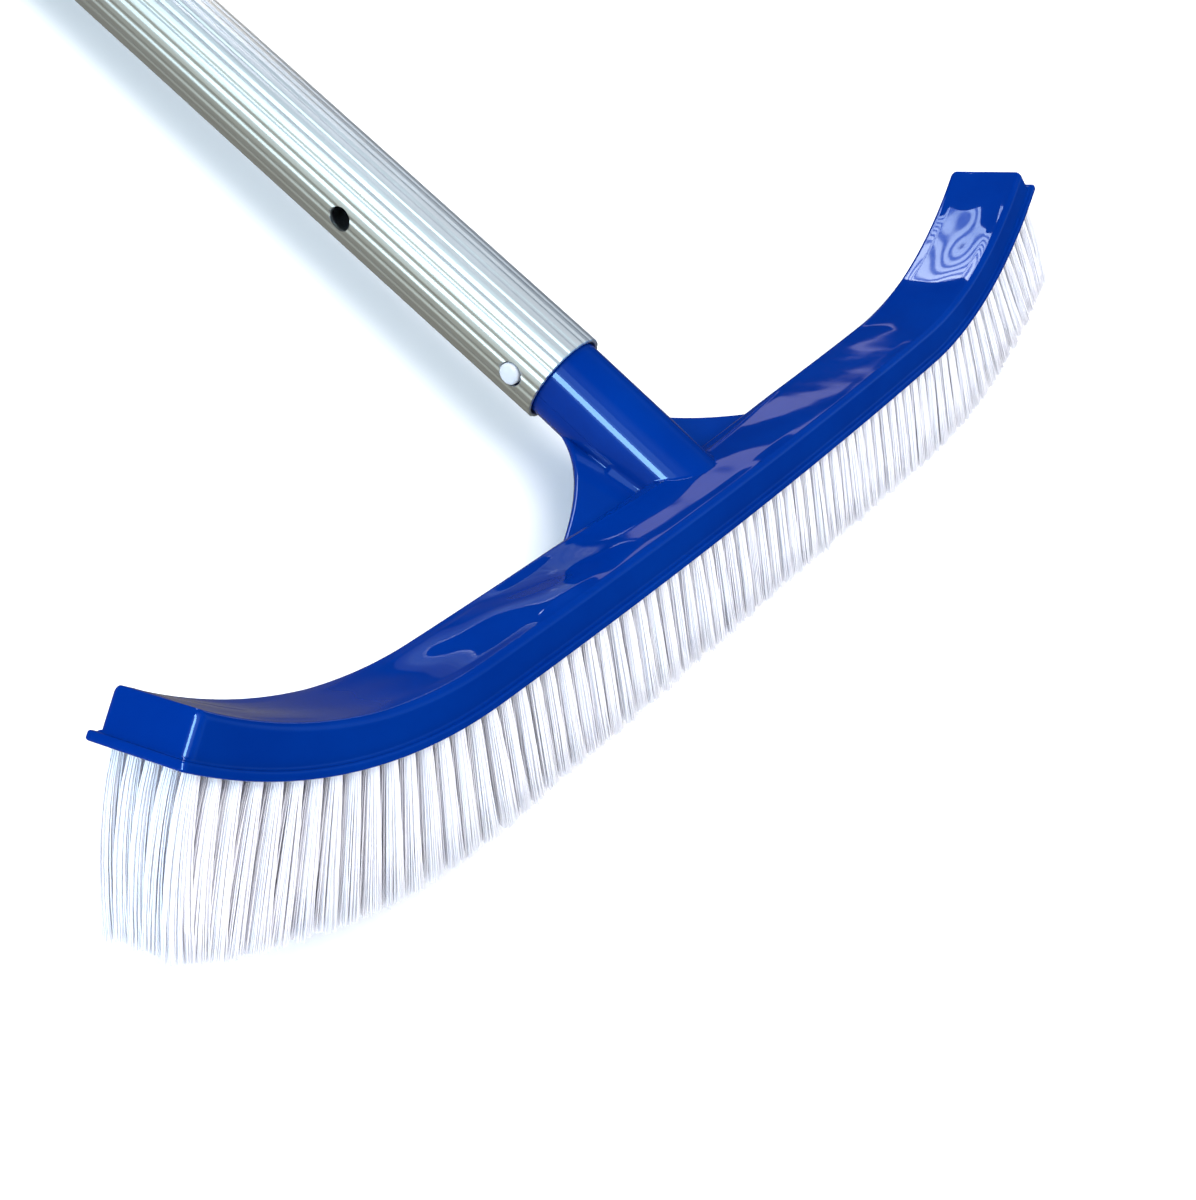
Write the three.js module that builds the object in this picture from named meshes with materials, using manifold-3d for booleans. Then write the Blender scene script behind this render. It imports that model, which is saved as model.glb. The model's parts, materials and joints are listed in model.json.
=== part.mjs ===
// A curved pool wall brush, clipped to a length of fluted aluminium pole.
//
// Millimetres, +Z up. The brush is drawn in a frame of its own: X runs along it, Y points
// across it towards the pole, and Z points out of its back. The origin of that frame is the
// middle of the back's underside. At the end of the file the whole brush is tipped over, so
// that it lies on its tufts and on the end of its pole, as it would on a pool deck.

import * as THREE from 'three';
import { mergeVertices } from 'three/addons/utils/BufferGeometryUtils.js';
import Module from 'manifold-3d';

const wasm = await Module();
wasm.setup();

// ---- Driving dimensions -------------------------------------------------------------------

// The back: nearly straight in the middle, with both ends bent towards the pole's side.
const BACK_WIDTH = 29;
const BACK_HEIGHT = 11.9;
const BACK_HALF_LENGTH = 227; // along the bend
const MIDDLE_HALF_LENGTH = 125;
const MIDDLE_RADIUS = 3300;
const END_RADIUS = 151;
const CORNER_RADIUS = 2.5; // of the ends, seen from above
const LIP_CORNER_RADIUS = 1.2;
const END_RISE = 1.3; // how much thicker the back gets at its ends
const END_RISE_START = 165;
const EDGE_RADIUS = 2; // of the back's upper edge
const LIP_OVERHANG = 1.6;
const LIP_HEIGHT = 2.4;
const LIP_CHAMFER = 0.6;

// The tufts: straight across the back they form rows, and along it they form columns.
const TUFT_COLUMNS = 75;
const TUFT_ROWS = 5;
const COLUMN_PITCH = 6;
const ROW_PITCH = 5.8;
const COLUMNS_IN_A_GROUP = 3;
const TUFT_HOLE_WIDTH = 4.2;
const TUFT_HOLE_DEPTH = 9;
const TUFT_ROOT_WIDTH = 3.6;
const TUFT_MERGE_DEPTH = 5; // below this the tufts have spread into each other
const TUFT_SPREAD = BACK_WIDTH / 2 - 0.6; // half the width of the tufts where they merge
const TIP_SPREAD = BACK_WIDTH / 2 + 0.5; // and at their tips
const TIP_DROP = 33; // the straight line the tips are trimmed to, below the underside
const END_TUFT_LENGTH = 40;

// The last tufts at each end are pushed together by use: their tips lean in towards the middle
// of the brush, and those of the far row lean towards the near side as well.
const LEAN_START = 186; // along the bend
const LEAN_FULL = 222;
const TIP_LEAN_IN = 8.5;
const FAR_TIP_LEAN = 4.5;

// The handle tube leans from the far edge of the back towards the pole.
const TUBE_ANGLE = THREE.MathUtils.degToRad(39.5);
const TUBE_FOOT = new THREE.Vector3(0, 21.2, BACK_HEIGHT); // where its axis meets the back's level
const TUBE_RADIUS = 14;
const TUBE_WALL = 3;
const TUBE_END = 64; // along the axis from its foot
const BORE_FLOOR = 8;

// The webs are one flat plate that passes through the tube and runs into the far wall.
const WEB_ANGLE = THREE.MathUtils.degToRad(30);
const WEB_THICKNESS = 3;
const WEB_TOP_AT_WALL = 6.3;
const WEB_HALF_SPAN = 62;
const WEB_NECK = 9.5; // half its width where it ends, inside the tube's underside
const WEB_REACH = 42;
const WEB_PULL = [14.5, 19.5]; // the point that bows both free edges inwards
const WEB_ROOT_DEPTH = 3;

// The pole, a little loose on the tube, so it droops to one side.
const POLE_RADIUS = 16;
const POLE_WALL = 1.2;
const POLE_LENGTH = 480;
const POLE_START = 39.3; // along the tube's axis from its foot
const POLE_ELEVATION = THREE.MathUtils.degToRad(38.9);
const POLE_SWAY = THREE.MathUtils.degToRad(1.2);
const FLUTES = 26;
const FLUTE_DEPTH = 0.35;
const SNAP_HOLE_RADIUS = 4.1;
const SNAP_HOLE_FROM_END = 10.7;
const SNAP_HOLE_SPACING = 76.2;

// The snap clip inside the tube.
const CLIP_OUTER = 9.7; // from the tube's axis to the outside of each arm
const CLIP_THICKNESS = 1.6;
const CLIP_WIDTH = 7;
const BOW_CENTRE = 19; // along the tube's axis from its foot
const ARM_END = 57;
const BUTTON_RADIUS = 3.55;
const BUTTON_EDGE = 0.9; // how far its top is rounded
const BUTTON_TOP = 17.2;
const BUTTON_HEIGHT = POLE_START + SNAP_HOLE_FROM_END;
const BUTTON_HOLE_RADIUS = 4.2;

// The grip and the cap on the pole's far end.
const GRIP_RADIUS = 18.6;
const GRIP_BORE = 16.4;
const GRIP_LENGTH = 112;
const GRIP_RIBS = 9;
const CAP_RADIUS = 18.2;
const CAP_HEIGHT = 7;
const PLUG_RADIUS = 14.3;
const PLUG_DEPTH = 20;

const GAP = 0.3; // kept between pieces that touch

// ---- Materials ----------------------------------------------------------------------------

const BLUE_PLASTIC = { color: 0x0540b8, roughness: 0.12, metalness: 0 };
const WHITE_NYLON = { color: 0xe9ebf6, roughness: 0.45, metalness: 0 };
const CLIP_NYLON = { color: 0xe6e6e8, roughness: 0.35, metalness: 0 };
const ALUMINIUM = { color: 0xc9ccc9, roughness: 0.3, metalness: 1 };
const GRIP_VINYL = { color: 0x12307a, roughness: 0.6, metalness: 0 };

// ---- Helpers ------------------------------------------------------------------------------

function solidOf(geometry, matrix = new THREE.Matrix4()) {
  const bare = geometry.clone().applyMatrix4(matrix);
  bare.deleteAttribute('normal');
  bare.deleteAttribute('uv');
  const merged = mergeVertices(bare, 1e-4);
  return new wasm.Manifold(new wasm.Mesh({
    numProp: 3,
    vertProperties: merged.attributes.position.array,
    triVerts: Uint32Array.from(merged.index.array),
  }));
}

function geometryOf(solid) {
  const { vertProperties, triVerts } = solid.getMesh();
  const geometry = new THREE.BufferGeometry();
  geometry.setAttribute('position', new THREE.BufferAttribute(vertProperties, 3));
  geometry.setIndex(new THREE.BufferAttribute(triVerts, 1));
  geometry.computeVertexNormals();
  return geometry;
}

function piece(name, geometry, finish) {
  const mesh = new THREE.Mesh(geometry, new THREE.MeshStandardMaterial(finish));
  mesh.name = name;
  return mesh;
}

// A cylinder between two heights on its own Z axis.
function rod(radius, bottom, top, sides) {
  const geometry = new THREE.CylinderGeometry(radius, radius, top - bottom, sides);
  return geometry.rotateX(Math.PI / 2).translate(0, 0, (top + bottom) / 2);
}

// A rod across the tube or the pole, through both of its walls.
function crossRod(radius, height, sides) {
  const reach = 2 * POLE_RADIUS;
  return rod(radius, -reach, reach, sides).rotateY(Math.PI / 2).translate(0, 0, height);
}

// A turned piece: the profile's points are [radius, height].
function turned(profile, sides) {
  const points = profile.map(([radius, height]) => new THREE.Vector2(radius, height));
  return new THREE.LatheGeometry(points, sides).rotateX(Math.PI / 2);
}

// ---- The bend -----------------------------------------------------------------------------

// How far the back has turned at a distance along it, and where its underside is there.
function bendAt(s) {
  const inner = Math.min(Math.abs(s), MIDDLE_HALF_LENGTH) / MIDDLE_RADIUS;
  const outer = Math.max(Math.abs(s) - MIDDLE_HALF_LENGTH, 0) / END_RADIUS;
  const turn = inner + outer;
  const middleX = MIDDLE_RADIUS * Math.sin(inner);
  const middleZ = MIDDLE_RADIUS * (1 - Math.cos(inner));
  const endX = END_RADIUS * (Math.sin(turn) - Math.sin(inner));
  const endZ = END_RADIUS * (Math.cos(inner) - Math.cos(turn));
  const side = Math.sign(s);
  return { turn: side * turn, x: side * (middleX + endX), z: middleZ + endZ };
}

// The place of a point that is s along the back, y across it and n above its underside.
function bent(s, y, n) {
  const { turn, x, z } = bendAt(s);
  return new THREE.Vector3(x - n * Math.sin(turn), y, z + n * Math.cos(turn));
}

// Sets a piece drawn on the Z axis upright on the underside.
function uprightAt(s, y) {
  const upright = new THREE.Matrix4().makeRotationY(-bendAt(s).turn);
  return upright.setPosition(bent(s, y, 0));
}

// A closed body lofted through rings. Each ring is a list of points that runs along the near
// side and back along the far side, so that a point and its opposite number share an s.
function loft(rings) {
  const count = rings[0].length;
  const index = [];
  const quad = (a, b, c, d) => index.push(a, b, c, a, c, d);
  for (let ring = 0; ring + 1 < rings.length; ring += 1) {
    for (let i = 0; i < count; i += 1) {
      const next = (i + 1) % count;
      const low = ring * count;
      const high = low + count;
      quad(low + i, low + next, high + next, high + i);
    }
  }
  const top = (rings.length - 1) * count;
  for (let i = 0; i + 1 < count / 2; i += 1) {
    const opposite = count - 1 - i;
    quad(opposite, opposite - 1, i + 1, i);
    quad(top + i, top + i + 1, top + opposite - 1, top + opposite);
  }
  const geometry = new THREE.BufferGeometry().setFromPoints(rings.flat());
  geometry.setIndex(index);
  geometry.computeVertexNormals();
  return geometry;
}

// ---- The brush back -----------------------------------------------------------------------

// The distances along the back at which its outline has a point, from one end to the other,
// with half its width there.
function backStations(inset) {
  const cornerSteps = 4;
  const endSteps = 12;
  const middleSteps = 6;
  const halfLength = BACK_HALF_LENGTH - inset;
  const halfWidth = BACK_WIDTH / 2 - inset;
  const corner = inset < 0 ? LIP_CORNER_RADIUS : CORNER_RADIUS - inset;
  const positive = [];
  for (let i = 1; i <= middleSteps; i += 1) {
    positive.push([(MIDDLE_HALF_LENGTH * i) / middleSteps, halfWidth]);
  }
  const bendLength = halfLength - corner - MIDDLE_HALF_LENGTH;
  for (let i = 1; i < endSteps; i += 1) {
    positive.push([MIDDLE_HALF_LENGTH + (bendLength * i) / endSteps, halfWidth]);
  }
  for (let i = 0; i <= cornerSteps; i += 1) {
    const angle = (Math.PI / 2) * (i / cornerSteps);
    const s = halfLength - corner + corner * Math.sin(angle);
    positive.push([s, halfWidth - corner + corner * Math.cos(angle)]);
  }
  const negative = positive.map(([s, width]) => [-s, width]).reverse();
  return [...negative, [0, halfWidth], ...positive];
}

// How much the back's top has risen at a distance along it.
function endRise(s) {
  const share = Math.max(Math.abs(s) - END_RISE_START, 0) / (BACK_HALF_LENGTH - END_RISE_START);
  return END_RISE * share;
}

function backRing(inset, n) {
  const stations = backStations(inset);
  const height = (s) => (n > BACK_HEIGHT / 2 ? n + endRise(s) : n);
  const near = stations.map(([s, halfWidth]) => bent(s, -halfWidth, height(s)));
  const far = stations.map(([s, halfWidth]) => bent(s, halfWidth, height(s))).reverse();
  return [...near, ...far];
}

function backBody() {
  const rings = [
    backRing(LIP_CHAMFER - LIP_OVERHANG, 0),
    backRing(-LIP_OVERHANG, LIP_CHAMFER),
    backRing(-LIP_OVERHANG, LIP_HEIGHT - LIP_CHAMFER),
    backRing(LIP_CHAMFER - LIP_OVERHANG, LIP_HEIGHT),
    backRing(0, LIP_HEIGHT + LIP_CHAMFER),
  ];
  const edgeSteps = 3;
  for (let i = 0; i <= edgeSteps; i += 1) {
    const angle = (Math.PI / 2) * (i / edgeSteps);
    const inset = EDGE_RADIUS * (1 - Math.cos(angle));
    rings.push(backRing(inset, BACK_HEIGHT - EDGE_RADIUS * (1 - Math.sin(angle))));
  }
  return solidOf(loft(rings));
}

// The tube's own frame: Z along its axis away from the back, X along the brush.
function tubeFrame() {
  const frame = new THREE.Matrix4().makeRotationX(TUBE_ANGLE - Math.PI / 2);
  return frame.setPosition(TUBE_FOOT);
}

// Cut off level with the back's underside, so that it ends in a flat heel.
function tubeBody() {
  const sides = 32;
  const belowFoot = 45;
  const tube = solidOf(rod(TUBE_RADIUS, -belowFoot, TUBE_END, sides), tubeFrame());
  const reach = 4 * TUBE_END;
  const above = new THREE.BoxGeometry(reach, reach, reach).translate(0, 0, reach / 2);
  return tube.intersect(solidOf(above));
}

function webPlate() {
  const [pullX, pullY] = WEB_PULL;
  const outline = new THREE.Shape();
  outline.moveTo(-WEB_HALF_SPAN, -WEB_ROOT_DEPTH);
  outline.lineTo(WEB_HALF_SPAN, -WEB_ROOT_DEPTH);
  outline.lineTo(WEB_HALF_SPAN, 0);
  outline.quadraticCurveTo(pullX, pullY, WEB_NECK, WEB_REACH);
  outline.lineTo(-WEB_NECK, WEB_REACH);
  outline.quadraticCurveTo(-pullX, pullY, -WEB_HALF_SPAN, 0);
  const geometry = new THREE.ExtrudeGeometry(outline, {
    depth: WEB_THICKNESS,
    bevelEnabled: false,
    curveSegments: 8,
  });
  geometry.translate(0, 0, -WEB_THICKNESS);
  const frame = new THREE.Matrix4().makeRotationX(WEB_ANGLE);
  frame.setPosition(0, BACK_WIDTH / 2, WEB_TOP_AT_WALL);
  return solidOf(geometry, frame);
}

function tubeHollow() {
  const bore = rod(TUBE_RADIUS - TUBE_WALL, BORE_FLOOR, TUBE_END + 1, 32);
  const buttonHoles = crossRod(BUTTON_HOLE_RADIUS, BUTTON_HEIGHT, 16);
  return solidOf(bore, tubeFrame()).add(solidOf(buttonHoles, tubeFrame()));
}

function tuftPlaces() {
  const places = [];
  for (let column = 0; column < TUFT_COLUMNS; column += 1) {
    for (let row = 0; row < TUFT_ROWS; row += 1) {
      const s = (column - (TUFT_COLUMNS - 1) / 2) * COLUMN_PITCH;
      const y = (row - (TUFT_ROWS - 1) / 2) * ROW_PITCH;
      places.push({ s, y, group: Math.floor(column / COLUMNS_IN_A_GROUP) });
    }
  }
  return places;
}

// A square bar on a tuft's axis, between two heights over the underside.
function tuftBar({ s, y }, width, bottom, top) {
  const bar = new THREE.BoxGeometry(width, width, top - bottom);
  return solidOf(bar.translate(0, 0, (top + bottom) / 2), uprightAt(s, y));
}

function brushBack() {
  let solid = backBody().add(tubeBody()).add(webPlate()).subtract(tubeHollow());
  for (const place of tuftPlaces()) {
    solid = solid.subtract(tuftBar(place, TUFT_HOLE_WIDTH, -1, TUFT_HOLE_DEPTH));
  }
  return piece('brush_back', geometryOf(solid), BLUE_PLASTIC);
}

// ---- The tufts ----------------------------------------------------------------------------

// The middle is trimmed straight, and from there the tufts grow longer towards the ends.
function tuftLength(s) {
  const { z } = bendAt(Math.min(Math.abs(s), MIDDLE_HALF_LENGTH));
  const straight = TIP_DROP + z;
  const past = Math.max(Math.abs(s) - MIDDLE_HALF_LENGTH, 0);
  const share = past / (BACK_HALF_LENGTH - MIDDLE_HALF_LENGTH);
  return straight + (END_TUFT_LENGTH - straight) * share;
}

// How much of the end tufts' lean a tuft has, from 0 along most of the brush to 1 at its ends.
function leanShare(s) {
  const share = Math.max(Math.abs(s) - LEAN_START, 0) / (LEAN_FULL - LEAN_START);
  return share * share;
}

function tipAt(s, y) {
  const leanY = y > 0 ? FAR_TIP_LEAN * leanShare(s) : 0;
  const leanS = Math.sign(s) * TIP_LEAN_IN * leanShare(s);
  return bent(s - leanS, y - leanY, -tuftLength(s));
}

// The spread filaments of a few columns, as one block that widens a little to its tips.
function tuftBlock(firstColumn) {
  const middle = (TUFT_COLUMNS - 1) / 2;
  const start = (firstColumn - middle - 0.5) * COLUMN_PITCH + GAP / 2;
  const end = start + COLUMNS_IN_A_GROUP * COLUMN_PITCH - GAP;
  const along = [start, (start + end) / 2, end];
  const ring = (halfWidth, place) => [
    ...along.map((s) => place(s, -halfWidth)),
    ...along.map((s) => place(s, halfWidth)).reverse(),
  ];
  const mergedAt = (s, y) => bent(s, y, -TUFT_MERGE_DEPTH);
  return solidOf(loft([ring(TIP_SPREAD, tipAt), ring(TUFT_SPREAD, mergedAt)]));
}

// Each group's tufts stand in their own holes, a little short of the holes' floors.
function tuftGroup(group) {
  let solid = tuftBlock(group * COLUMNS_IN_A_GROUP);
  for (const place of tuftPlaces().filter((tuft) => tuft.group === group)) {
    const top = TUFT_HOLE_DEPTH - GAP;
    solid = solid.add(tuftBar(place, TUFT_ROOT_WIDTH, -TUFT_MERGE_DEPTH - 1, top));
  }
  const number = String(group + 1).padStart(2, '0');
  return piece(`tufts_${number}`, geometryOf(solid), WHITE_NYLON);
}

// ---- The snap clip ------------------------------------------------------------------------

// The bend of the clip, with its two ends facing along the tube.
function clipBow() {
  const inner = CLIP_OUTER - CLIP_THICKNESS;
  const outline = new THREE.Shape();
  outline.absarc(0, 0, CLIP_OUTER, Math.PI, 2 * Math.PI, false);
  outline.absarc(0, 0, inner, 2 * Math.PI, Math.PI, true);
  const geometry = new THREE.ExtrudeGeometry(outline, {
    depth: CLIP_WIDTH,
    bevelEnabled: false,
    curveSegments: 12,
  });
  geometry.translate(0, 0, -CLIP_WIDTH / 2).rotateX(Math.PI / 2);
  return piece('clip_bow', geometry.translate(0, 0, BOW_CENTRE), CLIP_NYLON);
}

// One springy arm with its round button. The side is -1 for the left arm and 1 for the right.
function clipArm(name, side) {
  const start = BOW_CENTRE + GAP;
  const strip = new THREE.BoxGeometry(CLIP_THICKNESS, CLIP_WIDTH, ARM_END - start);
  const stripX = side * (CLIP_OUTER - CLIP_THICKNESS / 2);
  strip.translate(stripX, 0, (ARM_END + start) / 2);
  const button = turned([
    [0, CLIP_OUTER - CLIP_THICKNESS / 2],
    [BUTTON_RADIUS, CLIP_OUTER - CLIP_THICKNESS / 2],
    [BUTTON_RADIUS, BUTTON_TOP - BUTTON_EDGE],
    [BUTTON_RADIUS - BUTTON_EDGE, BUTTON_TOP - BUTTON_EDGE / 4],
    [0, BUTTON_TOP],
  ], 16);
  button.rotateY((side * Math.PI) / 2).translate(0, 0, BUTTON_HEIGHT);
  return piece(name, geometryOf(solidOf(strip).add(solidOf(button))), CLIP_NYLON);
}

// ---- The pole, drawn from its brush end along +Z --------------------------------------------

// A ridge and a shallow groove, repeated round the pole.
function flutedOutline() {
  const outline = new THREE.Shape();
  const pitch = (2 * Math.PI) / FLUTES;
  const corners = [[0.04, 0], [0.62, 0], [0.7, FLUTE_DEPTH], [0.96, FLUTE_DEPTH]];
  const points = [];
  for (let flute = 0; flute < FLUTES; flute += 1) {
    for (const [share, depth] of corners) {
      const angle = (flute + share) * pitch;
      const radius = POLE_RADIUS - depth;
      points.push(new THREE.Vector2(radius * Math.cos(angle), radius * Math.sin(angle)));
    }
  }
  outline.setFromPoints(points);
  const bore = new THREE.Path();
  bore.absarc(0, 0, POLE_RADIUS - POLE_WALL, 0, 2 * Math.PI, true);
  outline.holes.push(bore);
  return outline;
}

function poleTube() {
  let solid = solidOf(new THREE.ExtrudeGeometry(flutedOutline(), {
    depth: POLE_LENGTH,
    bevelEnabled: false,
    curveSegments: 24,
  }));
  for (const height of [SNAP_HOLE_FROM_END, SNAP_HOLE_FROM_END + SNAP_HOLE_SPACING]) {
    solid = solid.subtract(solidOf(crossRod(SNAP_HOLE_RADIUS, height, 16)));
  }
  return piece('pole_tube', geometryOf(solid), ALUMINIUM);
}

function poleGrip() {
  const start = POLE_LENGTH - GRIP_LENGTH;
  const groove = 0.8;
  const pitch = GRIP_LENGTH / GRIP_RIBS;
  const profile = [[GRIP_BORE, start]];
  for (let rib = 0; rib < GRIP_RIBS; rib += 1) {
    const low = start + rib * pitch;
    profile.push([GRIP_RADIUS - groove, low]);
    profile.push([GRIP_RADIUS, low + pitch / 4]);
    profile.push([GRIP_RADIUS, low + (3 * pitch) / 4]);
  }
  profile.push([GRIP_RADIUS - groove, POLE_LENGTH]);
  profile.push([GRIP_BORE, POLE_LENGTH]);
  profile.push([GRIP_BORE, start]);
  return piece('pole_grip', turned(profile, 24), GRIP_VINYL);
}

// A hollow plug under a round head with a flat end.
function poleEndCap() {
  const wall = 2;
  const edge = 2;
  const profile = [
    [0, GAP + wall],
    [PLUG_RADIUS - wall, GAP],
    [PLUG_RADIUS - wall, -PLUG_DEPTH],
    [PLUG_RADIUS, -PLUG_DEPTH],
    [PLUG_RADIUS, GAP],
    [CAP_RADIUS, GAP],
    [CAP_RADIUS, CAP_HEIGHT - edge],
    [CAP_RADIUS - edge, CAP_HEIGHT],
    [0, CAP_HEIGHT],
  ];
  const raised = profile.map(([radius, height]) => [radius, POLE_LENGTH + height]);
  return piece('pole_end_cap', turned(raised, 24), BLUE_PLASTIC);
}

// ---- Assembly -----------------------------------------------------------------------------

function snapClip() {
  const clip = new THREE.Group();
  clip.name = 'snap_clip';
  clip.applyMatrix4(tubeFrame());
  clip.add(clipBow(), clipArm('clip_arm_left', -1), clipArm('clip_arm_right', 1));
  return clip;
}

// The pole pivots a little about its brush end, which stays centred on the tube.
function pole() {
  const swayed = new THREE.Group();
  swayed.position.set(0, 0, POLE_START).applyMatrix4(tubeFrame());
  swayed.rotation.z = POLE_SWAY;
  const tipped = new THREE.Group();
  tipped.name = 'pole';
  tipped.rotation.x = POLE_ELEVATION - Math.PI / 2;
  tipped.add(poleTube(), poleGrip(), poleEndCap());
  swayed.add(tipped);
  return swayed;
}

function head() {
  const parts = new THREE.Group();
  parts.add(brushBack(), snapClip());
  for (let group = 0; group < TUFT_COLUMNS / COLUMNS_IN_A_GROUP; group += 1) {
    parts.add(tuftGroup(group));
  }
  return parts;
}

// It lies on the tips of its far row of tufts and on the underside of the grip's end.
function lyingDown(assembly) {
  assembly.updateMatrixWorld(true);
  const gripEnd = new THREE.Vector3(0, GRIP_RADIUS, POLE_LENGTH);
  assembly.getObjectByName('pole').localToWorld(gripEnd);
  const rise = gripEnd.z + TIP_DROP;
  const run = gripEnd.y - TIP_SPREAD;
  assembly.rotation.x = -Math.atan2(rise, run);
  const lying = new THREE.Group();
  lying.add(assembly);
  const box = new THREE.Box3().setFromObject(lying, true);
  const middle = box.getCenter(new THREE.Vector3());
  assembly.position.set(-middle.x, -middle.y, -box.min.z);
  return lying;
}

const assembly = new THREE.Group();
assembly.name = 'brush';
assembly.add(head(), pole());

export default lyingDown(assembly);
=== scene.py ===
"""A curved pool wall brush clipped to a fluted aluminium pole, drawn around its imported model.

Every shape is worked out in millimetres in the frame of the brush, of its handle tube or of the
pole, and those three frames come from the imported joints. The pieces are stored in metres.
"""
import json
import math

import bpy
import numpy as np
from mathutils import Matrix, Vector

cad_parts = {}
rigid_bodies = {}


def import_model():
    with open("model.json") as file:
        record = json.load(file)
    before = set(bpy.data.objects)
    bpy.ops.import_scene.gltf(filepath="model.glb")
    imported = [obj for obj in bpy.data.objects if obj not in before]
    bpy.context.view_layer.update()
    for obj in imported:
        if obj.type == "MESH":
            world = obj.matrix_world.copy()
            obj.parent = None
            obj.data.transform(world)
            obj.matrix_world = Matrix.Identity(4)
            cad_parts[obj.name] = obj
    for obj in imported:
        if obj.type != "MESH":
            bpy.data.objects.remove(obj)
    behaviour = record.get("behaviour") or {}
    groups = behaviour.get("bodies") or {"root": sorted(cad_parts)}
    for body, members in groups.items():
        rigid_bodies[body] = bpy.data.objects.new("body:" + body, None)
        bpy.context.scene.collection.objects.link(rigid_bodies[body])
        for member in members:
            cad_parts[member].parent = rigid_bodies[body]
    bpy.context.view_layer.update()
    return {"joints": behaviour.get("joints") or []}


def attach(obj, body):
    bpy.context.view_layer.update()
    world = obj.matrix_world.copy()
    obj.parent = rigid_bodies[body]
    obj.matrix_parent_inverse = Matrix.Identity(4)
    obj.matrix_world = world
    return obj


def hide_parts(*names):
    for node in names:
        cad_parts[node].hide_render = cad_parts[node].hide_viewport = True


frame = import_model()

# ---- Driving dimensions, in millimetres ------------------------------------------------------

# They are the CAD model's, with two exceptions. The end tufts lean half a millimetre less, and
# the top edges of the two end walls are sharper.

MM = 0.001
GAP = 0.3  # between pieces that would otherwise touch
BACK_WIDTH = 29
BACK_HEIGHT = 11.9
BACK_HALF_LENGTH = 227  # along the bend
MIDDLE_HALF_LENGTH = 125
MIDDLE_RADIUS = 3300
END_RADIUS = 151
CORNER_RADIUS = 2.5
LIP_CORNER_RADIUS = 1.2
END_RISE = 1.3  # how much thicker the back is at its ends than in its middle
END_RISE_START = 165
EDGE_RADIUS = 2
END_EDGE_SHARE = 0.4  # of the edge radius, at the two end walls
LIP_OVERHANG = 1.6
LIP_HEIGHT = 2.4

TUFT_COLUMNS = 75
TUFT_ROWS = 5
COLUMN_PITCH = 6
ROW_PITCH = 5.8
COLUMNS_IN_A_GROUP = 3
TUFT_HOLE_RADIUS = 2.1
TUFT_HOLE_DEPTH = 9
TIP_DROP = 33
END_TUFT_LENGTH = 40
LEAN_START = 186
LEAN_FULL = 222
TIP_LEAN_IN = 8
FAR_TIP_LEAN = 4

TUBE_ANGLE = math.radians(39.5)
TUBE_FOOT = np.array([0, 21.2, BACK_HEIGHT])
TUBE_RADIUS = 14
BORE_RADIUS = 11
TUBE_END = 64
BORE_FLOOR = 8

WEB_ANGLE = math.radians(30)
WEB_THICKNESS = 3
WEB_TOP_AT_WALL = 6.3
WEB_HALF_SPAN = 62
WEB_NECK = 9.5
WEB_REACH = 42
WEB_PULL = np.array([14.5, 19.5])
WEB_ROOT_DEPTH = 3

POLE_RADIUS = 16
POLE_WALL = 1.2
POLE_LENGTH = 480
POLE_START = 39.3
POLE_ELEVATION = math.radians(38.9)
POLE_SWAY = math.radians(1.2)
FLUTES = 26
FLUTE_DEPTH = 0.35
SNAP_HOLE_RADIUS = 4.1
SNAP_HOLE_FROM_END = 10.7
SNAP_HOLE_SPACING = 76.2

CLIP_OUTER = 9.7
CLIP_THICKNESS = 1.6
CLIP_WIDTH = 7
BOW_CENTRE = 19
ARM_END = 57
BUTTON_RADIUS = 3.55
BUTTON_TOP = 17.2
BUTTON_HEIGHT = POLE_START + SNAP_HOLE_FROM_END
BUTTON_HOLE_RADIUS = 4.2

GRIP_RADIUS = 18.6
GRIP_BORE = 16.4
GRIP_LENGTH = 112
GRIP_RIBS = 9
CAP_RADIUS = 18.2
CAP_HEIGHT = 7
PLUG_RADIUS = 14.3
PLUG_DEPTH = 20

# ---- Frames, in millimetres ----------------------------------------------------------------


def frame_from(origin, x_axis, z_axis):
    """A frame whose unit is a millimetre, from its origin and two axes in the row frame."""
    columns = [x_axis * MM, z_axis.cross(x_axis) * MM, z_axis * MM, origin]
    matrix = Matrix.Identity(4)
    for index, column in enumerate(columns):
        matrix.col[index].xyz = column
    return matrix


def tube_frame():
    """The handle tube's frame: its axis is Z, and the clip's two hinges lie across it."""
    joints = {joint["name"]: joint for joint in frame["joints"]}
    left = joints["left_button_press"]
    right = joints["right_button_press"]
    x_axis = (Vector(right["pos_m"]) - Vector(left["pos_m"])).normalized()
    z_axis = x_axis.cross(Vector(left["axis"])).normalized()
    middle = (Vector(left["pos_m"]) + Vector(right["pos_m"])) / 2
    return frame_from(middle - z_axis * (BOW_CENTRE + GAP) * MM, x_axis, z_axis)


TUBE = tube_frame()
TUBE_IN_HEAD = Matrix.Translation(TUBE_FOOT) @ Matrix.Rotation(TUBE_ANGLE - math.pi / 2, 4, "X")
HEAD = TUBE @ TUBE_IN_HEAD.inverted()
POLE = (
    TUBE
    @ Matrix.Translation((0, 0, POLE_START))
    @ Matrix.Rotation(math.pi / 2 - TUBE_ANGLE, 4, "X")
    @ Matrix.Rotation(POLE_SWAY, 4, "Z")
    @ Matrix.Rotation(POLE_ELEVATION - math.pi / 2, 4, "X")
)


def turned_by(matrix, points):
    """Points carried from one frame into another."""
    array = np.array(matrix)
    return points @ array[:3, :3].T + array[:3, 3]


# ---- Camera ----------------------------------------------------------------------------------


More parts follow.
